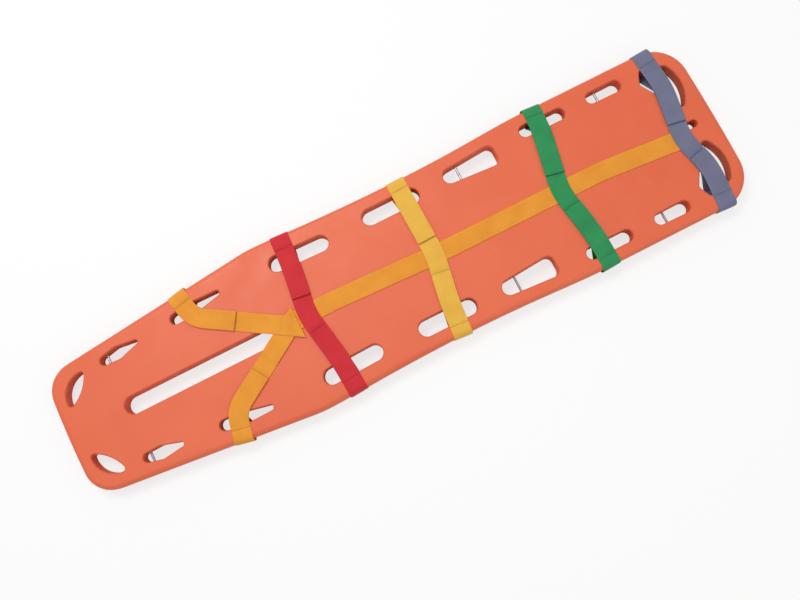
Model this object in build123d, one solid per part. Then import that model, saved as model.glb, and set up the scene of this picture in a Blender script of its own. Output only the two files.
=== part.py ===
import os
from math import atan2, cos, hypot, sqrt, tan

from build123d import *

os.makedirs("parts", exist_ok=True)

# The board lies on its back: X runs from the foot end to the head end, Y across, Z up.

# Board, overall
board_length = 1840
head_half_width = 231
deck_top = 52
rail_gap = 12
belly_bottom = 5
belly_margin = 97
belly_corner = 45
belly_chamfer = 5
edge_round = 14
rim_chamfer = 2.5
foot_corner_round = 75
head_corner_round = 95
end_bow = 5
runner_width = 26

# Moulded edge on the +Y side: foot corner, end of the straight taper, waist, start of the parallel head
side_line = [
    (-920, 164), (-340, 227), (-272, 228), (-160, 223), (-40, 219),
    (150, 218.2), (300, 223.2), (430, 230), (540, 231),
]

# The places in this list and below follow the board's length and width when those change
length_ratio = board_length / 2 / abs(side_line[0][0])
width_ratio = head_half_width / side_line[-1][1]

# Belly and runners under the board
belly_ends = (-770, 768)
runner_ends = ((-690, 74), (690, 74))

# Hand holes and slots, each centred on the board or given on the +Y side and mirrored
centre_slot = ((-737.75, 0), (-363.25, 0))
centre_slot_width = 46.5
head_slot = ((828, 0), (859, 0))
head_slot_width = 20
foot_moon_ends = ((-885, 62), (-817, 136.5))
foot_moon_out = 26
foot_moon_in = 12
foot_moon_tip = 8
foot_leaf = ((-759, 134.5, 12), (-722, 138, 16.5), (-669.5, 142.5, 5.5))
arm_leaf = ((-554, 149, 14), (-515, 153.5, 16.5), (-433, 161.5, 7))
red_slot = ((-262.5, 160.5), (-141, 156.5))
red_slot_width = 43
yellow_slot = ((4, 160.5), (121.5, 160.5))
yellow_slot_width = 44
key_hole = ((237, 163.3, 20), (351, 174, 17.5), (351, 152.6, 17.5))
green_slot = ((464.5, 181.3), (562, 181.3))
green_slot_width = 33
small_key_hole = ((659.5, 181.5, 15.5), (728, 181.5, 16.5))
head_moon = ((855, 44), (787, 154), (803.5, 191), (870, 172))
head_moon_bulge = (886, 108)
head_moon_corner = 13

# Steel pins across the tapered holes: place, and half the gap that each one crosses
pin_diameter = 6
pin_anchor = 11
pin_fit = 0.1
pin_height = 32
pin_places = {
    "foot": (-752, 135.2, 13),
    "middle": (261, 163.3, 22),
    "head": (676, 181.5, 16),
}

# Webbing
strap_width = 50
strap_thick = 1.8
seat = 0.3
patch_thick = 1.0
patch_width = 46
hook_length = 60
loop_edge = 1
flap_edge = 3
hook_edge = 4
rim_margin = 8
flap_lift = 5
dive_margin = 1
hump_margin = 2
hump_slope = 12
hinge_gap = 0.3
rail_shoulder = 5

deck_level = deck_top + seat + strap_thick / 2
hump_level = deck_level + strap_thick + seat
under_level = rail_gap - seat - strap_thick / 2
flap_level = deck_level + strap_thick + 2 * patch_thick + seat

# Plan of the harness from above: each strap end leaves its crossing on the spine strap
spine_plan = [(-336, 3), (-190, 9), (106, -4), (582, -4), (834, -26)]
red_crossing = -250
red_reach = {"left": [(-233, 130), (-227, 240)], "right": [(-226, -130), (-218, -240)]}
yellow_crossing = 107
yellow_reach = {"left": [(101, 235)], "right": [(84, -130), (76, -235)]}
green_crossing = 467
green_reach = {"left": [(500, 160), (506, 240)], "right": [(488, -130), (494, -240)]}
grey_crossing = 811
grey_reach = {"left": [(835, 120), (827, 240)], "right": [(835, -120), (827, -240)]}
arm_start = (-302, 0)
arm_reach = {"left": [(-512, 131), (-534, 235)], "right": [(-512, -131), (-534, -235)]}
arm_lap = 24
arm_hump = 92
arm_flap_end = 138


def turned(vector, side=1):
    return (-vector[1] * side, vector[0] * side)


def direction(a, b):
    length = hypot(b[0] - a[0], b[1] - a[1])
    return ((b[0] - a[0]) / length, (b[1] - a[1]) / length)


def along(point, vector, distance):
    return (point[0] + vector[0] * distance, point[1] + vector[1] * distance)


def carried(place):
    """A place given above, or several, moved with the board's length and width; a third number stays."""
    if isinstance(place[0], (tuple, list)):
        return [carried(each) for each in place]
    return (place[0] * length_ratio, place[1] * width_ratio, *place[2:])


def board_outline(inset=0):
    """Plan of the moulded edge: straight foot taper, shallow waist, parallel head, drawn in by inset."""
    foot = inset - board_length / 2
    head = board_length / 2 - inset
    foot_corner, taper_end, *stations, shoulder = carried(side_line)
    taper = direction(foot_corner, taper_end)
    taper_end = (taper_end[0], taper_end[1] - inset / taper[0])
    corner_x = foot + end_bow
    corner = along(taper_end, taper, (corner_x - taper_end[0]) / taper[0])
    shoulder = (shoulder[0], shoulder[1] - inset)
    stations = [(x, y - inset) for x, y in stations]
    side = (
        Line(corner, taper_end)
        + Spline(taper_end, *stations, shoulder, tangents=(taper, (1, 0)))
        + Line(shoulder, (head - end_bow, head_half_width - inset))
    )
    head_end = ThreePointArc(side @ 1, (head, 0), (head - end_bow, inset - head_half_width))
    foot_end = ThreePointArc((corner[0], -corner[1]), (foot, 0), corner)
    shape = make_face(side + head_end + mirror(side, about=Plane.XZ) + foot_end)
    head_corners = shape.vertices().filter_by(lambda v: v.X > head - 2 * end_bow)
    shape = fillet(head_corners, max(head_corner_round - inset, belly_corner))
    foot_corners = shape.vertices().filter_by(lambda v: v.X < foot + 2 * end_bow)
    return fillet(foot_corners, max(foot_corner_round - inset, belly_corner))


def rounded_hull(circles):
    rings = Sketch() + [Pos(x, y) * Circle(r) for x, y, r in carried(circles)]
    return make_face(make_hull(rings.edges()))


def slot_shape(a, b, width):
    return rounded_hull([(*a, width / 2), (*b, width / 2)])


def half_moon():
    a, b = carried(foot_moon_ends)
    middle = ((a[0] + b[0]) / 2, (a[1] + b[1]) / 2)
    outward = turned(direction(a, b))
    outer = ThreePointArc(a, along(middle, outward, foot_moon_out), b)
    inner = ThreePointArc(b, along(middle, outward, -foot_moon_in), a)
    shape = make_face(outer + inner)
    return fillet(shape.vertices(), foot_moon_tip)


def head_half_moon():
    a, b, c, d = carried(head_moon)
    edges = Line(a, b) + Line(b, c) + Line(c, d) + ThreePointArc(d, carried(head_moon_bulge), a)
    shape = make_face(edges)
    return fillet(shape.vertices(), head_moon_corner)


def side_holes():
    """The nine openings along the +Y rail, foot to head."""
    return {
        "foot_moon": half_moon(),
        "foot_leaf": rounded_hull(foot_leaf),
        "arm_leaf": rounded_hull(arm_leaf),
        "red_slot": slot_shape(*red_slot, red_slot_width),
        "yellow_slot": slot_shape(*yellow_slot, yellow_slot_width),
        "key_hole": rounded_hull(key_hole),
        "green_slot": slot_shape(*green_slot, green_slot_width),
        "small_key_hole": rounded_hull(small_key_hole),
        "head_moon": head_half_moon(),
    }


def all_holes():
    holes = [slot_shape(*centre_slot, centre_slot_width), slot_shape(*head_slot, head_slot_width)]
    for shape in side_holes().values():
        holes.append(shape)
        holes.append(mirror(shape, about=Plane.XZ))
    return holes


def belly():
    """Deeper middle of the moulding, which carries the two runners and leaves room under the rails."""
    foot_x, head_x = [x * length_ratio for x in belly_ends]
    window = Pos((foot_x + head_x) / 2, 0) * RectangleRounded(
        head_x - foot_x, 2 * head_half_width, belly_corner
    )
    shape = board_outline(belly_margin) & window
    block = extrude(Plane.XY.offset(belly_bottom) * shape, deck_top / 2 - belly_bottom)
    return chamfer(block.faces().sort_by(Axis.Z)[0].edges(), belly_chamfer)


def runner(side):
    foot_point, head_point = [(x, side * y) for x, y in runner_ends]
    shape = slot_shape(foot_point, head_point, runner_width)
    return extrude(shape, deck_top / 2)


def moulding():
    """The board's closed moulding: rails, deeper belly, runners and hand holes with broken rims."""
    slab = extrude(Plane.XY.offset(rail_gap) * board_outline(), deck_top - rail_gap)
    slab = fillet(slab.faces().filter_by(Axis.Z).edges(), edge_round)
    body = slab + belly() + runner(1) + runner(-1)
    for shape in all_holes():
        body -= extrude(shape, deck_top)
    return chamfer(rim_edges(body), rim_chamfer)


def rim_edges(body):
    """Edges where the hand holes meet the deck."""
    deck = body.faces().filter_by(Axis.Z).sort_by(Axis.Z)[-1]
    return ShapeList([edge for wire in deck.inner_wires() for edge in wire.edges()])


def pin(place, side, extra=0):
    """Steel rod across a tapered hole, or with extra the bore that takes it."""
    x, y, half_gap = carried(place)
    length = 2 * (half_gap + pin_anchor + extra)
    rod = Rot(90, 0, 0) * Cylinder(pin_diameter / 2 + extra, length)
    return Pos(x, side * y, pin_height) * rod


def band_face(path, bends, thick):
    """Section of a strap: even thickness along straight runs joined by tangent bends.

    The path is (distance along the strap, height); bends has one centreline radius per inner point,
    or none where the webbing is creased.
    """
    ways = [direction(a, b) for a, b in zip(path, path[1:])]
    edges = []
    starts = []
    for face_side in (1, -1):
        shift = face_side * thick / 2
        cursor = along(path[0], turned(ways[0]), shift)
        starts.append(cursor)
        run = []
        for corner, radius, before, after in zip(path[1:], bends, ways, ways[1:]):
            across = before[0] * after[1] - before[1] * after[0]
            turn = atan2(across, before[0] * after[0] + before[1] * after[1])
            if abs(turn) < 0.001:
                continue
            half_way = direction((0, 0), (before[0] + after[0], before[1] + after[1]))
            if radius is None:
                crease = along(corner, turned(half_way), shift / cos(turn / 2))
                run.append(Edge.make_line(Vector(*cursor), Vector(*crease)))
                cursor = crease
                continue
            hand = 1 if turn > 0 else -1
            reach = radius * tan(abs(turn) / 2)
            centre = along(along(corner, before, -reach), turned(before), hand * radius)
            arc_radius = radius - hand * shift
            enter = along(centre, turned(before), -hand * arc_radius)
            leave = along(centre, turned(after), -hand * arc_radius)
            top = along(centre, turned(half_way), -hand * arc_radius)
            run.append(Edge.make_line(Vector(*cursor), Vector(*enter)))
            run.append(Edge.make_three_point_arc(Vector(*enter), Vector(*top), Vector(*leave)))
            cursor = leave
        finish = along(path[-1], turned(ways[-1]), shift)
        run.append(Edge.make_line(Vector(*cursor), Vector(*finish)))
        edges += run
        starts.append(finish)
    edges.append(Edge.make_line(Vector(*starts[0]), Vector(*starts[2])))
    edges.append(Edge.make_line(Vector(*starts[1]), Vector(*starts[3])))
    return Face(Wire(edges))


def laid_strap(plan, section, width, span, first_cut=None):
    """A strap section stood along each straight run of its plan, mitred where two runs meet.

    span is the part of the path that the section covers; first_cut is the plane it starts from.
    A run counts where the section comes within a quarter of the strap's width of it.
    """
    solid = None
    done = 0
    cut = first_cut
    for index, (a, b) in enumerate(zip(plan, plan[1:])):
        way = direction(a, b)
        length = hypot(b[0] - a[0], b[1] - a[1])
        last = index == len(plan) - 2
        next_cut = None
        if not last:
            after = direction(b, plan[index + 2])
            next_cut = Plane(origin=(b[0], b[1], 0), z_dir=(way[0] + after[0], way[1] + after[1], 0))
        if span[1] > done - width / 4 and (last or span[0] < done + length + width / 4):
            start = along(a, way, -done)
            stand = Plane(origin=(*start, 0), x_dir=(*way, 0), z_dir=(way[1], -way[0], 0))
            piece = extrude(stand * section, width / 2, both=True)
            if cut:
                piece = split(piece, bisect_by=cut, keep=Keep.TOP)
            if next_cut:
                piece = split(piece, bisect_by=next_cut, keep=Keep.BOTTOM)
            solid = piece if solid is None else solid + piece
        done += length
        cut = next_cut
    return solid


def crossing(shape, point, way, width):
    """Nearest and farthest distances at which a strap's middle and edges meet a plan shape."""
    near = []
    far = []
    for shift in (-width / 2, 0, width / 2):
        start = along(point, turned(way), shift)
        finish = along(start, way, board_length / 2)
        hit = shape.faces()[0].intersect(Edge.make_line(Vector(*start), Vector(*finish)))
        ends = [v for edge in hit.edges() for v in edge.vertices()]
        distances = [(v.X - start[0]) * way[0] + (v.Y - start[1]) * way[1] for v in ends]
        near.append(min(distances))
        far.append(max(distances))
    return min(near), max(near), min(far), max(far)


def strap_end(plan, hole):
    """Distances along a strap: hole rim, rail's inner wall, fold line and board edge."""
    inner = sum(hypot(b[0] - a[0], b[1] - a[1]) for a, b in zip(plan[:-1], plan[1:-1]))
    way = direction(plan[-2], plan[-1])
    start = plan[-2]
    _, rim, wall_near, wall_far = crossing(hole, start, way, strap_width)
    _, _, _, edge = crossing(board_outline(), start, way, strap_width)
    return {
        "rim": inner + rim,
        "wall": inner + wall_near,
        "fold": inner + wall_far + rail_shoulder,
        "edge": inner + edge,
        "way": way,
        "fold_point": along(start, way, wall_far + rail_shoulder),
    }


def main_run(plan, marks, hump, first_cut):
    """Half of a strap: over the crossing, down through the hole, round the rail and back onto its top."""
    clear = seat + strap_thick / 2
    round_rail = edge_round + clear
    path = [
        (-strap_width, hump_level),
        (hump, hump_level),
        (hump + hump_slope, deck_level),
        (marks["rim"] + clear + dive_margin, deck_level),
        (marks["wall"] - clear - dive_margin, under_level),
        (marks["edge"] + clear, under_level),
        (marks["edge"] + clear, deck_level),
        (marks["fold"] + hinge_gap / 2, deck_level),
    ]
    bends = [None, None, None, None, round_rail, round_rail]
    section = band_face(path, bends, strap_thick)
    return laid_strap(plan, section, strap_width, (-strap_width, marks["edge"]), first_cut)


def flap(plan, marks, free_end):
    """Strap end folded back over its own run, from the rail to its free end."""
    path = [
        (marks["fold"] - hinge_gap / 2, deck_level),
        (marks["rim"] - flap_lift, flap_level),
        (free_end, flap_level),
    ]
    section = band_face(path, [strap_width], strap_thick)
    return laid_strap(plan, section, strap_width, (free_end, path[0][0]))


def patch(plan, begin, end, level):
    section = band_face([(begin, level), (end, level)], [], patch_thick)
    return laid_strap(plan, section, patch_width, (begin, end))


def spine_at(x):
    """Point of the spine strap's middle at x, and the strap's way there."""
    line = carried(spine_plan)
    for a, b in zip(line, line[1:]):
        if a[0] <= x <= b[0]:
            way = direction(a, b)
            return along(a, way, (x - a[0]) / way[0]), way


def hump_half(out, spine_way):
    """How far from the crossing a strap stays raised to clear both edges of the spine strap."""
    square = abs(out[1] * spine_way[0] - out[0] * spine_way[1])
    skew = sqrt(1 - square**2)
    return strap_width / 2 * (1 + skew) / square + hump_margin


def save(shape, name):
    export_step(shape, f"parts/{name}.step")


sides = {"left": 1, "right": -1}

board = moulding()
for place_name, place in pin_places.items():
    for side_name, side in sides.items():
        save(pin(place, side), f"strap_pin_{place_name}_{side_name}")
        board -= pin(place, side, pin_fit)
save(board, "board_shell")

holes = side_holes()
harness = {
    "red": (red_crossing, red_reach, "red_slot"),
    "yellow": (yellow_crossing, yellow_reach, "yellow_slot"),
    "green": (green_crossing, green_reach, "green_slot"),
    "grey": (grey_crossing, grey_reach, "head_moon"),
    "arm": (None, arm_reach, "arm_leaf"),
}
hook_level = flap_level - strap_thick / 2 - patch_thick / 2
loop_level = deck_level + strap_thick / 2 + patch_thick / 2
for colour, (crossing_x, reach, hole_name) in harness.items():
    is_arm = crossing_x is None
    centre, spine_way = (carried(arm_start), (1, 0)) if is_arm else spine_at(crossing_x * length_ratio)
    out_left = direction(centre, carried(reach["left"])[0])
    out_right = direction(centre, carried(reach["right"])[0])
    bisector = (out_left[0] - out_right[0], out_left[1] - out_right[1])
    halves = []
    for side_name, side in sides.items():
        plan = [centre, *carried(reach[side_name])]
        hole = holes[hole_name] if side > 0 else mirror(holes[hole_name], about=Plane.XZ)
        marks = strap_end(plan, hole)
        first_cut = Plane(origin=(*centre, 0), z_dir=(side * bisector[0], side * bisector[1], 0))
        hump = arm_hump if is_arm else hump_half(direction(centre, plan[1]), spine_way)
        flat_start = hump + hump_slope
        half = main_run(plan, marks, hump, first_cut)
        if is_arm:
            lap_end = Plane(origin=(centre[0] + arm_lap, 0, 0), z_dir=(-1, 0, 0))
            half = split(half, bisect_by=lap_end, keep=Keep.TOP)
            save(half, f"arm_strap_{side_name}")
        halves.append(half)
        free_end = arm_flap_end if is_arm else flat_start + flap_edge
        loop_start = free_end - flap_edge + loop_edge
        hook_start = free_end + hook_edge
        last = marks["rim"] - rim_margin
        hook_end = min(hook_start + hook_length, last)
        name = f"{colour}_{side_name}"
        save(flap(plan, marks, free_end), f"{name}_flap")
        save(patch(plan, hook_start, hook_end, hook_level), f"{name}_hook_patch")
        save(patch(plan, loop_start, min(hook_end + hook_edge, last), loop_level), f"{name}_loop_patch")
    if not is_arm:
        save(halves[0] + halves[1], f"{colour}_strap")

spine_line = carried(spine_plan)
spine_length = sum(hypot(b[0] - a[0], b[1] - a[1]) for a, b in zip(spine_line, spine_line[1:]))
spine_section = band_face([(0, deck_level), (spine_length, deck_level)], [], strap_thick)
save(laid_strap(spine_line, spine_section, strap_width, (0, spine_length)), "spine_strap")
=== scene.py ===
from math import atan2, cos, hypot, pi, radians, sin, tan

import bmesh
import bpy
from mathutils import Matrix, Vector
from mathutils.bvhtree import BVHTree


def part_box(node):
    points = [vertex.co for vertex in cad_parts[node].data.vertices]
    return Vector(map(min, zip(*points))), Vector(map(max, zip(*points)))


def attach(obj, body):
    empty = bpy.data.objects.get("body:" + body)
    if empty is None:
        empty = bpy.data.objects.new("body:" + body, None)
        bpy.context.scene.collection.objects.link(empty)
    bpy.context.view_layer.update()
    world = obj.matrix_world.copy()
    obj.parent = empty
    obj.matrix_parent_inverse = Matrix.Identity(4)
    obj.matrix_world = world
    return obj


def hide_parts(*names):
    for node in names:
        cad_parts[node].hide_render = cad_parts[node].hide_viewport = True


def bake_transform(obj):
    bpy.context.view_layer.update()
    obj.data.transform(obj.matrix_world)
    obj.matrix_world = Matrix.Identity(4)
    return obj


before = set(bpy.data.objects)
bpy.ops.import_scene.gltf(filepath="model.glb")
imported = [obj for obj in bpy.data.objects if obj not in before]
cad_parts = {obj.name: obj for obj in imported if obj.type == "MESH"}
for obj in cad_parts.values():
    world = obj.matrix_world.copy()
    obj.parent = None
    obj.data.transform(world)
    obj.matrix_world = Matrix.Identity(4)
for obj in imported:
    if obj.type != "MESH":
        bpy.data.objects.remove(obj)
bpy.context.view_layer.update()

# Sizes in millimetres, as in the solids; meshes are built in metres
MM = 0.001
deck_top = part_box("board_shell")[1].z / MM
rail_gap = 12
edge_round = 14
rim_round = 3

# Webbing and tape, and the heights at which they lie
strap_width = 50
strap_thick = 1.8
seat = 0.3
clear = seat + strap_thick / 2
deck_level = deck_top + clear
hump_level = deck_level + strap_thick + seat
under_level = rail_gap - clear
patch_thick = 1.0
patch_width = 46
patch_row = 1.5
patch_face = 0.3
flap_level = deck_level + strap_thick + 2 * patch_thick + seat
hump_slope = 12
hump_margin = 2
hump_round = 18
rail_shoulder = 5
dive_margin = 1
flap_lift = 5
flap_edge = 3
hook_edge = 4
hook_length = 60
loop_edge = 1.5
rim_margin = 8

# Webbing is cupped across: its edges stand this much above its middle, and the middle sinks by cup_level
# of it
cup = 0.2
cup_level = 0.4

# Distance from a cut end, in metres, that the mesh keeps where the webbing has no such end
no_cut_near = 1.0

# Fold of a peeling end: flat stretch, bend and the stretch over which it turns
fold_flat = 6
fold_round = 30
turn_zone = 13

# Sewn box on each end, and the rows across the joint of the Y
box_inset = 20
box_margin = 2
joint_rows = (-6, -3, 21, 24)
joint_row_half = 22.5
joint_pitch = 3.4

# A ray straight down that lands more than ray_drop under the deck has left the deck
ray_step = 0.5
ray_drop = 3.5

# Plan of the harness from above
spine_plan = [(-336, 3), (-190, 9), (106, -4), (582, -4), (834, -26)]
arm_start = (-302, 0)
arm_trim = -278
arm_hump = 92
arm_flap_end = 138
arm_tail = 55
arm_behind = 60
arm_lift = 0.1
arm_lift_end = 28
arm_lift_foot = 52
arm_lift_round = 30
harness = {
    "red": {"x": -250, "left": [(-233, 130), (-227, 240)], "right": [(-226, -130), (-218, -240)]},
    "yellow": {"x": 107, "left": [(101, 235)], "right": [(84, -130), (76, -235)]},
    "green": {"x": 467, "left": [(500, 160), (506, 240)], "right": [(488, -130), (494, -240)]},
    "grey": {"x": 811, "left": [(835, 120), (827, 240)], "right": [(835, -120), (827, -240)]},
}
arm_reach = {"left": [(-512, 131), (-534, 235)], "right": [(-512, -131), (-534, -235)]}

# Colours, linear red, green, blue
board_colour = (0.80, 0.155, 0.066)
board_deep = (0.66, 0.075, 0.030)
board_scuff = (0.90, 0.34, 0.21)
steel_dark = (0.42, 0.42, 0.43)
steel_light = (0.62, 0.62, 0.63)
floor_white = (0.93, 0.93, 0.93)
# Each webbing has its colour and a darker copy; the darker one is painted shade in the weave's hollows
# and soft folds, and the base of the singed ends
webbing_colours = {
    "red": ((0.70, 0.030, 0.040), (0.50, 0.012, 0.020)),
    "yellow": ((0.88, 0.52, 0.075), (0.72, 0.36, 0.040)),
    "green": ((0.030, 0.33, 0.105), (0.014, 0.19, 0.058)),
    "grey": ((0.195, 0.205, 0.310), (0.115, 0.125, 0.200)),
    "orange": ((0.88, 0.36, 0.035), (0.70, 0.23, 0.018)),
}

# Weave of the webbing, in metres
chevron_width = 0.0085
row_pitch = 0.0021
warp_pitch = 0.00125
selvedge_begin = 0.0213
selvedge_full = 0.0222
selvedge_pitch = 0.0012
singe_full = 0.0007
singe_end = 0.0016

# Softening of the board's rims: points closer than the first are one, faces within the second are flat
weld_distance = 1e-5
flat_angle = 0.4
soft_width = 1.1
soft_angle = 24

# Studio, in metres and watts
floor_size = 14
floor_drop = 0.0005
floor_glow = 0.72
sky_strength = 0.55
lens = 36
sensor = 36
camera_right = (0.89197, -0.45139, -0.02531)
camera_up = (0.45016, 0.88159, 0.14193)
camera_back = (-0.04175, -0.13799, 0.98955)
camera_place = (-0.1092, -0.3452, 1.9968 + deck_top * MM)


# A turn under this many radians is taken as straight on
no_turn = 0.001


def direction(a, b):
    length = hypot(b[0] - a[0], b[1] - a[1])
    return ((b[0] - a[0]) / length, (b[1] - a[1]) / length)


def distance(a, b):
    return hypot(b[0] - a[0], b[1] - a[1])


class Plan:
    """Line of a strap's middle from above, with eased corners; s is the distance from its origin."""

    corner_steps = 8
    near_shifts = (-8, -4, 0, 4, 8)

    def __init__(self, points, origin=0, ease=32):
        dense = [points[0]]
        for before, corner, after in zip(points, points[1:], points[2:]):
            reach = min(ease, distance(before, corner) / 2, distance(corner, after) / 2)
            way_in = direction(before, corner)
            way_out = direction(corner, after)
            a = (corner[0] - way_in[0] * reach, corner[1] - way_in[1] * reach)
            b = (corner[0] + way_out[0] * reach, corner[1] + way_out[1] * reach)
            for k in range(self.corner_steps + 1):
                u = k / self.corner_steps
                dense.append(tuple(
                    a[i] * (1 - u) ** 2 + 2 * corner[i] * u * (1 - u) + b[i] * u * u for i in (0, 1)
                ))
        dense.append(points[-1])
        self.points = dense
        self.marks = [0]
        for a, b in zip(dense, dense[1:]):
            self.marks.append(self.marks[-1] + distance(a, b))
        self.length = self.marks[-1]
        nearest = min(range(len(dense)), key=lambda i: distance(dense[i], points[origin]))
        self.shift = self.marks[nearest]

    def spot(self, s):
        """Point and way at distance s from the origin."""
        s += self.shift
        index = 0
        while index < len(self.marks) - 2 and self.marks[index + 1] < s:
            index += 1
        a, b = self.points[index], self.points[index + 1]
        way = direction(a, b)
        d = s - self.marks[index]
        return (a[0] + way[0] * d, a[1] + way[1] * d), way

    def smooth_way(self, s):
        """Way averaged over a short stretch, so that the strap's edges run evenly."""
        total = [0, 0]
        for shift in self.near_shifts:
            way = self.spot(s + shift)[1]
            total[0] += way[0]
            total[1] += way[1]
        size = hypot(*total)
        return (total[0] / size, total[1] / size)

    def at(self, s, t, z):
        """Point in metres at distance s along, t to the left of the way, at height z."""
        point = self.spot(s)[0]
        way = self.smooth_way(s)
        return Vector(((point[0] - way[1] * t) * MM, (point[1] + way[0] * t) * MM, z * MM))


def rounded_path(points, radii, step=6, turn_step=7):
    """Samples (s, z, way angle) of a side view made of straight runs and tangent bends."""
    samples = []
    cursor = points[0]
    ways = [direction(a, b) for a, b in zip(points, points[1:])]

    def straight(a, b, way):
        count = max(1, round(distance(a, b) / step))
        angle = atan2(way[1], way[0])
        for k in range(count + 1):
            u = k / count
            samples.append((a[0] + (b[0] - a[0]) * u, a[1] + (b[1] - a[1]) * u, angle))

    for corner, radius, before, after in zip(points[1:], radii, ways, ways[1:]):
        across = before[0] * after[1] - before[1] * after[0]
        turn = atan2(across, before[0] * after[0] + before[1] * after[1])
        if abs(turn) < no_turn:
            continue
        hand = 1 if turn > 0 else -1
        reach = radius * tan(abs(turn) / 2)
        enter = (corner[0] - before[0] * reach, corner[1] - before[1] * reach)
        straight(cursor, enter, before)
        centre = (enter[0] - before[1] * radius * hand, enter[1] + before[0] * radius * hand)
        start_angle = atan2(before[1], before[0])
        count = max(2, round(abs(turn) / radians(turn_step)))
        for k in range(1, count):
            angle = start_angle + turn * k / count
            s = centre[0] + hand * sin(angle) * radius
            samples.append((s, centre[1] - hand * cos(angle) * radius, angle))
        cursor = (corner[0] + after[0] * reach, corner[1] + after[1] * reach)
    straight(cursor, points[-1], ways[-1])
    return samples


def cross_section(width, thick, across=12, lip=3):
    """Closed outline (t, h) of webbing: flat faces and rounded selvedges."""
    half = width / 2
    flat = half - thick / 2
    top = [(flat - 2 * flat * k / across, thick / 2) for k in range(across + 1)]
    outline = list(top)
    for k in range(1, lip):
        angle = pi / 2 + pi * k / lip
        outline.append((-flat + cos(angle) * thick / 2, sin(angle) * thick / 2))
    outline += [(-t, -h) for t, h in top]
    for k in range(1, lip):
        angle = -pi / 2 + pi * k / lip
        outline.append((flat + cos(angle) * thick / 2, sin(angle) * thick / 2))
    return outline


def link(mesh, name):
    """New object in the scene that shows a mesh."""
    obj = bpy.data.objects.new(name, mesh)
    bpy.context.scene.collection.objects.link(obj)
    return obj


def ribbon(name, plan, samples, width, thick, cup=cup, cut_start=False, cut_end=False):
    """Webbing swept along samples of its side view on a plan, a little cupped across.

    The mesh keeps where each point lies on the strap: along, across, and from the nearest cut end.
    """
    outline = cross_section(width, thick)
    ring = len(outline)
    vertices = []
    lay = []
    run = 0
    previous = None
    for s, z, angle in samples:
        if previous:
            run += hypot(s - previous[0], z - previous[1])
        previous = (s, z)
        normal = (-sin(angle), cos(angle))
        for t, h in outline:
            lift = h + cup * ((2 * t / width) ** 2 - cup_level)
            vertices.append(plan.at(s + normal[0] * lift, t, z + normal[1] * lift))
            lay.append((run * MM, t * MM))
    faces = []
    for row in range(len(samples) - 1):
        for k in range(ring):
            a = row * ring + k
            b = row * ring + (k + 1) % ring
            faces.append((a, b, b + ring, a + ring))
    faces.append(tuple(reversed(range(ring))))
    last = (len(samples) - 1) * ring
    faces.append(tuple(last + k for k in range(ring)))
    mesh = bpy.data.meshes.new(name)
    mesh.from_pydata(vertices, [], faces)
    attribute = mesh.attributes.new("lay", "FLOAT_VECTOR", "POINT")
    values = []
    for along_strap, across_strap in lay:
        cut = no_cut_near
        if cut_start:
            cut = min(cut, along_strap)
        if cut_end:
            cut = min(cut, run * MM - along_strap)
        values += [along_strap, across_strap, cut]
    attribute.data.foreach_set("vector", values)
    edit = bmesh.new()
    edit.from_mesh(mesh)
    bmesh.ops.recalc_face_normals(edit, faces=edit.faces)
    edit.to_mesh(mesh)
    edit.free()
    for polygon in mesh.polygons:
        polygon.use_smooth = len(polygon.vertices) == 4
    mesh.update()
    return link(mesh, name)


def trim(obj, point, outward):
    """Cut a mesh by a plane, drop what lies outward, and close the cut."""
    edit = bmesh.new()
    edit.from_mesh(obj.data)
    geometry = edit.verts[:] + edit.edges[:] + edit.faces[:]
    cut = bmesh.ops.bisect_plane(
        edit, geom=geometry, plane_co=point, plane_no=outward, clear_outer=True, dist=1e-6
    )
    rim = [e for e in cut["geom_cut"] if isinstance(e, bmesh.types.BMEdge)]
    bmesh.ops.holes_fill(edit, edges=rim, sides=0)
    bmesh.ops.recalc_face_normals(edit, faces=edit.faces)
    edit.to_mesh(obj.data)
    edit.free()


# The rails and holes, found on the board's own mesh
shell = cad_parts["board_shell"]
shell_mesh = bmesh.new()
shell_mesh.from_mesh(shell.data)
shell_tree = BVHTree.FromBMesh(shell_mesh)
shell_mesh.free()


def on_deck(plan, s, t):
    """Whether the board's top, with a little of its rim, lies under a point of a plan."""
    top = plan.at(s, t, 2 * deck_top)
    hit = shell_tree.ray_cast(top, Vector((0, 0, -1)))[0]
    return hit is not None and hit.z / MM > deck_top - ray_drop


def rounding_reach(drop):
    """How far in from the board's edge its rounding has dropped by the given height."""
    return (edge_round ** 2 - (edge_round - drop) ** 2) ** 0.5


def strap_marks(plan, sign, begin=90):
    """Distances out from the crossing: hole rim, rail's inner wall, fold line and board edge."""
    rims, walls, edges = [], [], []
    for t in (-strap_width / 2, 0, strap_width / 2):
        s = begin
        while on_deck(plan, sign * s, t):
            s += ray_step
        rims.append(s)
        while not on_deck(plan, sign * s, t):
            s += ray_step
        walls.append(s)
        while on_deck(plan, sign * s, t):
            s += ray_step
        edges.append(s + edge_round - rounding_reach(ray_drop))
    return {
        "rim": max(rims),
        "wall": min(walls),
        "fold": max(walls) + rail_shoulder,
        "edge": max(edges),
    }


def outer_path(marks, hump):
    """Side view of half a strap from its crossing: hump, deck, down the hole, round the rail and back."""
    return [
        (hump, hump_level),
        (hump + hump_slope, deck_level),
        (marks["rim"] + clear + dive_margin, deck_level),
        (marks["wall"] - clear - dive_margin, under_level),
        (marks["edge"] + clear, under_level),
        (marks["edge"] + clear, deck_level),
        (marks["fold"], deck_level),
    ]


round_rim = rim_round + clear
round_rail = edge_round + clear
outer_bends = [hump_round, hump_round, round_rim, round_rim, round_rail, round_rail]


def hump_half(way, spine_way):
    """How far from the crossing a strap stays raised to clear both edges of the spine strap."""
    square = abs(way[1] * spine_way[0] - way[0] * spine_way[1])
    skew = (1 - square ** 2) ** 0.5
    return strap_width / 2 * (1 + skew) / square + hump_margin


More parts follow.
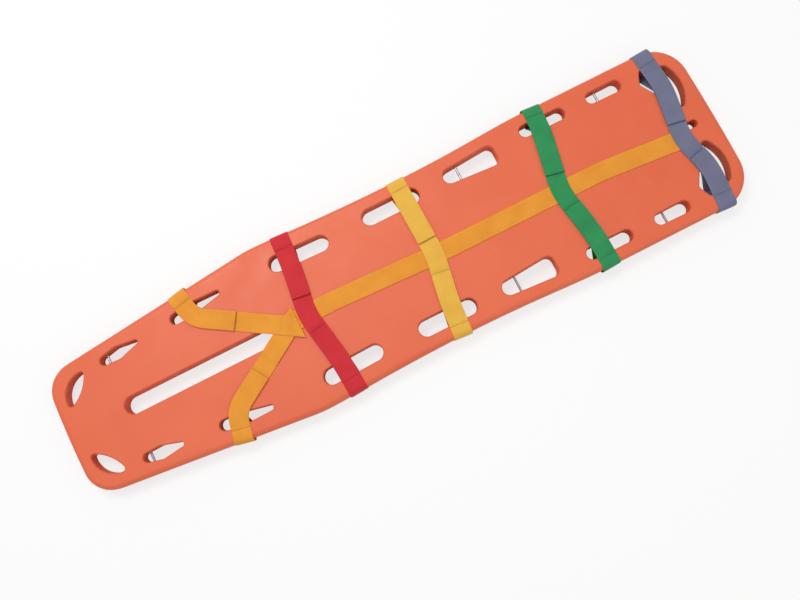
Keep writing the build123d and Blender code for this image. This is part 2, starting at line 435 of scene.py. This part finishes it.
def spine_at(x):
    """Point of the spine strap's middle at x, and the strap's way there."""
    for a, b in zip(spine_plan, spine_plan[1:]):
        if a[0] <= x <= b[0]:
            way = direction(a, b)
            return (x, a[1] + (x - a[0]) * way[1] / way[0]), way


# Places along a stitch, from end to end, with the share of its thickness at each
stitch_profile = ((-0.5, 0.35), (-0.3, 0.85), (0, 1), (0.3, 0.85), (0.5, 0.35))
stitch_sag = 0.35
look_ahead = 0.01


def thread_line(store, plan, corners, level, pitch=4.2, length=3.0, thick=0.8, sides=6):
    """Row of stitches along corners (s, t) on a strap, lying on the given height."""
    for (s0, t0), (s1, t1) in zip(corners, corners[1:]):
        span = hypot(s1 - s0, t1 - t0)
        count = max(1, int(span / pitch))
        for k in range(count):
            u = (k + 0.5) / count
            middle = plan.at(s0 + (s1 - s0) * u, t0 + (t1 - t0) * u, level)
            v = u + look_ahead
            ahead = plan.at(s0 + (s1 - s0) * v, t0 + (t1 - t0) * v, level)
            way = (ahead - middle).normalized()
            side = Vector((-way.y, way.x, 0))
            base = len(store["vertices"])
            for along_stitch, size in stitch_profile:
                centre = middle + way * (along_stitch * length * MM)
                centre.z -= (2 * along_stitch) ** 2 * thick * stitch_sag * MM
                for corner in range(sides):
                    angle = 2 * pi * corner / sides
                    radius = thick / 2 * size * MM
                    store["vertices"].append(
                        centre + side * (cos(angle) * radius) + Vector((0, 0, sin(angle) * radius))
                    )
            last = len(stitch_profile) - 1
            for ring in range(last):
                for corner in range(sides):
                    a = base + ring * sides + corner
                    b = base + ring * sides + (corner + 1) % sides
                    store["faces"].append((a, b, b + sides, a + sides))
            store["faces"].append(tuple(base + corner for corner in reversed(range(sides))))
            store["faces"].append(tuple(base + last * sides + corner for corner in range(sides)))


def thread_piece(name, store, material, body):
    """One piece of all the stitches in a store."""
    mesh = bpy.data.meshes.new(name)
    mesh.from_pydata(store["vertices"], [], store["faces"])
    for polygon in mesh.polygons:
        polygon.use_smooth = True
    mesh.update()
    obj = link(mesh, name)
    mesh.materials.append(material)
    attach(obj, body)
    return obj


# Materials
class Nodes:
    """Short hand for one material's nodes."""

    def __init__(self, name):
        self.material = bpy.data.materials.new(name)
        self.material.use_nodes = True
        self.tree = self.material.node_tree
        self.shader = self.tree.nodes["Principled BSDF"]

    def put(self, target, value):
        if isinstance(value, bpy.types.NodeSocket):
            self.tree.links.new(value, target)
        else:
            target.default_value = value

    def math(self, operation, a, b=0.0, clamp=False):
        node = self.tree.nodes.new("ShaderNodeMath")
        node.operation = operation
        node.use_clamp = clamp
        self.put(node.inputs[0], a)
        self.put(node.inputs[1], b)
        return node.outputs[0]

    def noise(self, vector, scale, detail=2.0, roughness=0.5):
        node = self.tree.nodes.new("ShaderNodeTexNoise")
        self.put(node.inputs["Vector"], vector)
        self.put(node.inputs["Scale"], scale)
        self.put(node.inputs["Detail"], detail)
        self.put(node.inputs["Roughness"], roughness)
        return node.outputs["Fac"]

    def ramp(self, value, low, high, to_low=0.0, to_high=1.0):
        node = self.tree.nodes.new("ShaderNodeMapRange")
        self.put(node.inputs["Value"], value)
        self.put(node.inputs["From Min"], low)
        self.put(node.inputs["From Max"], high)
        self.put(node.inputs["To Min"], to_low)
        self.put(node.inputs["To Max"], to_high)
        return node.outputs["Result"]

    def mix(self, share, a, b):
        node = self.tree.nodes.new("ShaderNodeMix")
        node.data_type = "RGBA"
        self.put(node.inputs["Factor"], share)
        first, second = [socket for socket in node.inputs if socket.type == "RGBA"]
        self.put(first, a)
        self.put(second, b)
        return [socket for socket in node.outputs if socket.type == "RGBA"][0]

    def place(self):
        return self.tree.nodes.new("ShaderNodeTexCoord").outputs["Object"]

    def stretched(self, vector, scale):
        node = self.tree.nodes.new("ShaderNodeMapping")
        self.put(node.inputs["Vector"], vector)
        node.inputs["Scale"].default_value = scale
        return node.outputs["Vector"]

    def split(self, vector):
        node = self.tree.nodes.new("ShaderNodeSeparateXYZ")
        self.put(node.inputs[0], vector)
        return node.outputs

    def lay(self):
        node = self.tree.nodes.new("ShaderNodeAttribute")
        node.attribute_name = "lay"
        return node.outputs["Vector"]

    def bump(self, height, strength, depth, under=None):
        node = self.tree.nodes.new("ShaderNodeBump")
        node.inputs["Strength"].default_value = strength
        node.inputs["Distance"].default_value = depth
        self.put(node.inputs["Height"], height)
        if under:
            self.put(node.inputs["Normal"], under)
        return node.outputs["Normal"]

    def finish(self, colour, roughness, normal, **sockets):
        self.put(self.shader.inputs["Base Color"], colour)
        self.put(self.shader.inputs["Roughness"], roughness)
        self.put(self.shader.inputs["Normal"], normal)
        for label, value in sockets.items():
            self.shader.inputs[label.replace("_", " ")].default_value = value
        return self.material


def rgba(colour):
    return (*colour, 1.0)


def moulded_plastic(name):
    """Rotation-moulded polyethylene: fine pebble grain, faint flow clouds, scuffs and rubbed spots."""
    n = Nodes(name)
    place = n.place()
    clouds = n.noise(place, 7, 3)
    grain = n.noise(place, 1100, 2, 0.6)
    pebble = n.noise(place, 420, 1)
    scratches = n.noise(n.stretched(place, (9, 260, 60)), 1.6, 4, 0.7)
    scratch_mask = n.ramp(n.noise(place, 5, 2), 0.52, 0.68)
    scratch = n.math("MULTIPLY", n.ramp(scratches, 0.60, 0.66), scratch_mask)
    colour = n.mix(n.ramp(clouds, 0.3, 0.75), rgba(board_deep), rgba(board_colour))
    colour = n.mix(0.78, colour, rgba(board_colour))
    colour = n.mix(n.math("MULTIPLY", scratch, 0.22), colour, rgba(board_scuff))
    height = n.math("ADD", n.math("MULTIPLY", grain, 0.55), n.math("MULTIPLY", pebble, 0.45))
    normal = n.bump(height, 0.35, 0.0004)
    normal = n.bump(scratch, 0.25, 0.0002, normal)
    roughness = n.ramp(n.noise(place, 16, 3), 0.3, 0.7, 0.40, 0.54)
    roughness = n.math("ADD", roughness, n.math("MULTIPLY", scratch, 0.15))
    return n.finish(colour, roughness, normal, Specular_IOR_Level=0.38)


def webbing(name, light, deep):
    """Woven polyester webbing: chevron rows, fine warp threads, a plain selvedge, singed cut ends,
    painted shade in the weave's hollows and soft folds.
    """
    n = Nodes(name)
    along_strap, across_strap, cut = n.split(n.lay())
    zigzag = n.math("PINGPONG", n.math("MULTIPLY", across_strap, 1 / chevron_width), 0.5)
    rows = n.math("MULTIPLY", along_strap, 1 / row_pitch)
    rows = n.math("ADD", rows, n.math("MULTIPLY", zigzag, 4.0))
    rows = n.math("SINE", n.math("MULTIPLY", rows, 2 * pi))
    warp = n.math("SINE", n.math("MULTIPLY", across_strap, 2 * pi / warp_pitch))
    edge = n.ramp(n.math("ABSOLUTE", across_strap), selvedge_begin, selvedge_full)
    selvedge = n.math("SINE", n.math("MULTIPLY", along_strap, 2 * pi / selvedge_pitch))
    weave = n.math("ADD", n.math("MULTIPLY", rows, 0.30), n.math("MULTIPLY", warp, 0.20))
    weave = n.math("ADD", weave, 0.5)
    plain = n.ramp(selvedge, -1, 1, 0.25, 0.75)
    weave = n.math("MULTIPLY", weave, n.math("SUBTRACT", 1.0, edge))
    height = n.math("ADD", weave, n.math("MULTIPLY", plain, edge))
    place = n.place()
    fuzz = n.noise(place, 1500, 2, 0.7)
    # Broad darker and lighter patches: painted shade of soft folds in the webbing, with uneven wear
    shade = n.noise(place, 22, 3)
    shade = n.ramp(shade, 0.3, 0.7, 0.18, 0.52)
    # Painted shade: the colour is darker where the weave is low, in its hollows, and in the fold patches
    weave_and_fold_shade = n.math("ADD", n.math("MULTIPLY", height, 0.5), shade, True)
    colour = n.mix(weave_and_fold_shade, rgba(deep), rgba(light))
    singe = n.ramp(cut, singe_full, singe_end, 0.55, 0.0)
    colour = n.mix(singe, colour, rgba(tuple(c * 0.35 for c in deep)))
    normal = n.bump(height, 0.55, 0.00045)
    normal = n.bump(fuzz, 0.25, 0.00025, normal)
    roughness = n.ramp(height, 0, 1, 0.86, 0.62)
    return n.finish(
        colour, roughness, normal, Sheen_Weight=0.18, Sheen_Roughness=0.45, Specular_IOR_Level=0.3
    )


def thread(name, colour):
    """Sewing thread, with painted shade: a little darker in the grooves of its twist."""
    n = Nodes(name)
    twist = n.noise(n.place(), 2600, 2)
    shade = n.mix(n.ramp(twist, 0.3, 0.7), rgba(tuple(c * 0.62 for c in colour)), rgba(colour))
    normal = n.bump(twist, 0.4, 0.0002)
    return n.finish(shade, n.ramp(twist, 0.3, 0.7, 0.5, 0.7), normal, Sheen_Weight=0.1)


def tape(name, colour, scale):
    """Hook or loop tape: a dense pile in tufts."""
    n = Nodes(name)
    place = n.place()
    pile = n.noise(place, scale, 3, 0.75)
    tufts = n.noise(place, scale / 5, 2)
    # Painted shade: the pile is darker where its bump is low, in its hollows
    shade = n.mix(n.ramp(pile, 0.35, 0.65), rgba(tuple(c * 0.45 for c in colour)), rgba(colour))
    height = n.math("ADD", n.math("MULTIPLY", pile, 0.7), n.math("MULTIPLY", tufts, 0.3))
    normal = n.bump(height, 0.9, 0.0008)
    roughness = n.ramp(tufts, 0.3, 0.7, 0.8, 0.95)
    return n.finish(shade, roughness, normal, Sheen_Weight=0.35, Sheen_Roughness=0.6)


def steel(name):
    """Drawn steel rod with turning marks and dull spots."""
    n = Nodes(name)
    place = n.place()
    turned = n.noise(n.stretched(place, (900, 8, 900)), 1, 3, 0.6)
    spots = n.noise(place, 260, 3)
    colour = n.mix(n.ramp(spots, 0.35, 0.7), rgba(steel_dark), rgba(steel_light))
    normal = n.bump(turned, 0.2, 0.0001)
    return n.finish(colour, n.ramp(turned, 0.3, 0.7, 0.26, 0.42), normal, Metallic=1.0)


def dress(name, material):
    """A solid shown as it is, in its own material."""
    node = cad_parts[name]
    node.data.materials.clear()
    node.data.materials.append(material)


def rounded_board():
    """The moulding with its corners softened, in place of the solid's crisp rims."""
    edit = bmesh.new()
    edit.from_mesh(shell.data)
    bmesh.ops.remove_doubles(edit, verts=edit.verts, dist=weld_distance)
    bmesh.ops.dissolve_limit(edit, angle_limit=radians(flat_angle), verts=edit.verts, edges=edit.edges)
    mesh = bpy.data.meshes.new("board_moulding")
    edit.to_mesh(mesh)
    edit.free()
    for polygon in mesh.polygons:
        polygon.use_smooth = True
    mesh.materials.clear()
    mesh.materials.append(moulded_plastic("Moulded_plastic"))
    board = link(mesh, "board_moulding")
    soften = board.modifiers.new("Soften", "BEVEL")
    soften.width = soft_width * MM
    soften.segments = 2
    soften.limit_method = "ANGLE"
    soften.angle_limit = radians(soft_angle)
    soften.use_clamp_overlap = True
    even = board.modifiers.new("Even_shading", "WEIGHTED_NORMAL")
    even.weight = 100
    even.keep_sharp = True
    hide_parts("board_shell")
    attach(board, "board")


rounded_board()
pin_steel = steel("Pin_steel")
for node_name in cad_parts:
    if node_name.startswith("strap_pin"):
        dress(node_name, pin_steel)

weaves = {key: webbing(f"Webbing_{key}", *pair) for key, pair in webbing_colours.items()}
threads = {
    key: thread(f"Thread_{key}", tuple(c * 0.9 for c in light))
    for key, (light, deep) in webbing_colours.items()
}
hook_material = tape("Hook_tape", (0.030, 0.030, 0.034), 1500)
loop_material = tape("Loop_tape", (0.045, 0.045, 0.050), 900)


def patch(name, plan, begin, end, level, material, body, ridges):
    """Hook or loop tape sewn on a strap, with a pile in rows."""
    sign = 1 if end > begin else -1
    count = max(2, round(abs(end - begin) / patch_row))
    samples = []
    for k in range(count + 1):
        samples.append((begin + (end - begin) * k / count, level, 0.0 if sign > 0 else pi))
    obj = ribbon(name, plan, samples, patch_width, patch_thick, cup=0)
    for vertex in obj.data.vertices:
        along_strap = obj.data.attributes["lay"].data[vertex.index].vector[0]
        row = round(along_strap / (patch_row * MM)) % 2
        inward = level * MM - vertex.co.z
        if row and abs(inward) > patch_face * MM:
            vertex.co.z += inward * ridges
    obj.data.materials.append(material)
    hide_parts(name)
    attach(obj, body)
    return obj


def strap_end_pieces(colour, weave_key, side_name, plan, sign, marks, free_end):
    """Folded-back end of a strap with its tapes and stitches."""
    name = f"{colour}_{side_name}"
    body = f"{name}_flap"
    last = marks["rim"] - rim_margin
    hook_start = free_end + hook_edge
    hook_end = min(hook_start + hook_length, last)
    loop_start = free_end + loop_edge
    loop_end = min(hook_end + hook_edge, last)
    path = [
        (sign * marks["fold"], deck_level),
        (sign * (marks["fold"] - fold_flat), deck_level),
        (sign * (marks["rim"] - flap_lift), flap_level),
        (sign * free_end, flap_level),
    ]
    samples = rounded_path(path, [fold_round, strap_width], step=4)
    piece = ribbon(f"{body}_webbing", plan, samples, strap_width, strap_thick, cut_end=True)
    piece.data.materials.append(weaves[weave_key])
    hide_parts(body)
    hinge = plan.at(sign * marks["fold"], 0, deck_level)
    beyond = plan.at(sign * (marks["fold"] - turn_zone), 0, deck_level)
    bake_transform(piece)

    hook_level = flap_level - strap_thick / 2 - patch_thick / 2
    loop_level = deck_level + strap_thick / 2 + patch_thick / 2
    patch(f"{name}_hook_patch", plan, sign * hook_start, sign * hook_end, hook_level,
          hook_material, body, 0.25)
    patch(f"{name}_loop_patch", plan, sign * loop_start, sign * loop_end, loop_level,
          loop_material, "board", 0.18)

    store = {"vertices": [], "faces": []}
    near = sign * (hook_start + box_margin)
    far = sign * (hook_end - box_margin)
    box = [(near, -box_inset), (far, -box_inset), (far, box_inset), (near, box_inset), (near, -box_inset)]
    thread_line(store, plan, box, flap_level + strap_thick / 2)
    thread_piece(f"{body}_stitches", store, threads[weave_key], body)


def cross_strap(colour, data):
    """One strap across the board, over the spine strap, round both rails."""
    centre, spine_way = spine_at(data["x"])
    points = [*reversed(data["left"]), centre, *data["right"]]
    plan = Plan(points, origin=len(data["left"]))
    sides = {"left": -1, "right": 1}
    marks = {side: strap_marks(plan, sign) for side, sign in sides.items()}
    humps = {side: hump_half(direction(centre, data[side][0]), spine_way) for side in sides}
    left = [(-s, z) for s, z in outer_path(marks["left"], humps["left"])]
    right = outer_path(marks["right"], humps["right"])
    path = list(reversed(left)) + right
    bends = list(reversed(outer_bends[1:])) + [outer_bends[0], outer_bends[0]] + outer_bends[1:]
    samples = rounded_path(path, bends)
    strap = ribbon(f"{colour}_strap_webbing", plan, samples, strap_width, strap_thick)
    strap.data.materials.append(weaves[colour])
    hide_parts(f"{colour}_strap")
    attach(strap, "board")
    for side, sign in sides.items():
        free_end = humps[side] + hump_slope + flap_edge
        strap_end_pieces(colour, colour, side, plan, sign, marks[side], free_end)


def arm_strap(side_name, sign):
    """One arm of the Y, sewn over the end of the spine strap and wrapped round its rail."""
    reach = arm_reach[side_name]
    way = direction(arm_start, reach[0])
    behind = (arm_start[0] - way[0] * arm_behind, arm_start[1] - way[1] * arm_behind)
    plan = Plan([behind, arm_start, *reach], origin=1)
    marks = strap_marks(plan, 1, begin=arm_flap_end)
    path = outer_path(marks, arm_hump)
    bends = list(outer_bends)
    if sign > 0:
        over = hump_level + strap_thick + arm_lift
        path = [(-arm_tail, over), (arm_lift_end, over), (arm_lift_foot, hump_level)] + path
        bends = [arm_lift_round, arm_lift_round] + bends
    else:
        path = [(-arm_tail, hump_level)] + path
    samples = rounded_path(path, bends)
    name = f"arm_strap_{side_name}"
    arm = ribbon(f"{name}_webbing", plan, samples, strap_width, strap_thick)
    trim(arm, Vector((arm_trim * MM, 0, 0)), Vector((1, 0, 0)))
    arm.data.materials.append(weaves["orange"])
    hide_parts(name)
    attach(arm, "board")
    strap_end_pieces("arm", "orange", side_name, plan, 1, marks, arm_flap_end)
    if sign > 0:
        store = {"vertices": [], "faces": []}
        for place in joint_rows:
            row = [(place, -joint_row_half), (place, joint_row_half)]
            thread_line(store, plan, row, over + strap_thick / 2, pitch=joint_pitch)
        thread_piece("arm_joint_stitches", store, threads["orange"], "board")


def spine_strap():
    """Long strap along the board, under all the cross straps."""
    plan = Plan(spine_plan)
    samples = rounded_path([(0, deck_level), (plan.length, deck_level)], [])
    spine = ribbon(
        "spine_strap_webbing", plan, samples, strap_width, strap_thick, cut_start=True, cut_end=True
    )
    spine.data.materials.append(weaves["orange"])
    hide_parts("spine_strap")
    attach(spine, "board")


for colour, data in harness.items():
    cross_strap(colour, data)
for side_name, sign in (("left", 1), ("right", -1)):
    arm_strap(side_name, sign)
spine_strap()


def white_floor():
    """Pale floor that takes the shadows and is lifted towards white where the camera sees it."""
    bpy.ops.mesh.primitive_plane_add(size=floor_size, location=(0, 0, -floor_drop))
    floor = bpy.context.object
    floor.name = "Floor"
    n = Nodes("Floor_white")
    n.shader.inputs["Roughness"].default_value = 0.9
    n.shader.inputs["Base Color"].default_value = rgba(floor_white)
    glow = n.tree.nodes.new("ShaderNodeEmission")
    glow.inputs["Color"].default_value = (1, 1, 1, 1)
    glow.inputs["Strength"].default_value = 1.0
    mixed = n.tree.nodes.new("ShaderNodeMixShader")
    light_path = n.tree.nodes.new("ShaderNodeLightPath")
    seen = n.math("MULTIPLY", light_path.outputs["Is Camera Ray"], floor_glow)
    n.tree.links.new(seen, mixed.inputs[0])
    n.tree.links.new(n.shader.outputs[0], mixed.inputs[1])
    n.tree.links.new(glow.outputs[0], mixed.inputs[2])
    n.tree.links.new(mixed.outputs[0], n.tree.nodes["Material Output"].inputs["Surface"])
    floor.data.materials.append(n.material)


def studio_world():
    """White behind the floor for the camera, a softer white as light."""
    world = bpy.data.worlds.new("Studio")
    bpy.context.scene.world = world
    world.use_nodes = True
    tree = world.node_tree
    sky = tree.nodes["Background"]
    sky.inputs["Color"].default_value = (1, 1, 1, 1)
    sky.inputs["Strength"].default_value = sky_strength
    white = tree.nodes.new("ShaderNodeBackground")
    white.inputs["Color"].default_value = (1, 1, 1, 1)
    mixed = tree.nodes.new("ShaderNodeMixShader")
    light_path = tree.nodes.new("ShaderNodeLightPath")
    tree.links.new(light_path.outputs["Is Camera Ray"], mixed.inputs[0])
    tree.links.new(sky.outputs[0], mixed.inputs[1])
    tree.links.new(white.outputs[0], mixed.inputs[2])
    tree.links.new(mixed.outputs[0], tree.nodes["World Output"].inputs["Surface"])


def area_light(name, place, size, power):
    """Round lamp that looks at the middle of the board."""
    lamp = bpy.data.lights.new(name, "AREA")
    lamp.shape = "DISK"
    lamp.size = size
    lamp.energy = power
    obj = bpy.data.objects.new(name, lamp)
    bpy.context.scene.collection.objects.link(obj)
    obj.location = place
    obj.rotation_euler = (-Vector(place)).to_track_quat("-Z", "Y").to_euler()


def photo_camera():
    """Camera at the photograph's place and tilt."""
    camera_data = bpy.data.cameras.new("Camera")
    camera_data.sensor_width = sensor
    camera_data.lens = lens
    camera = bpy.data.objects.new("Camera", camera_data)
    bpy.context.scene.collection.objects.link(camera)
    turn = Matrix((camera_right, camera_up, camera_back)).transposed().to_4x4()
    camera.matrix_world = Matrix.Translation(camera_place) @ turn
    bpy.context.scene.camera = camera


white_floor()
studio_world()
area_light("Key", (-0.6, 1.6, 3.2), 1.6, 62)
area_light("Fill", (1.8, -2.2, 2.6), 2.4, 16)
photo_camera()
bpy.context.scene.view_settings.view_transform = "Standard"
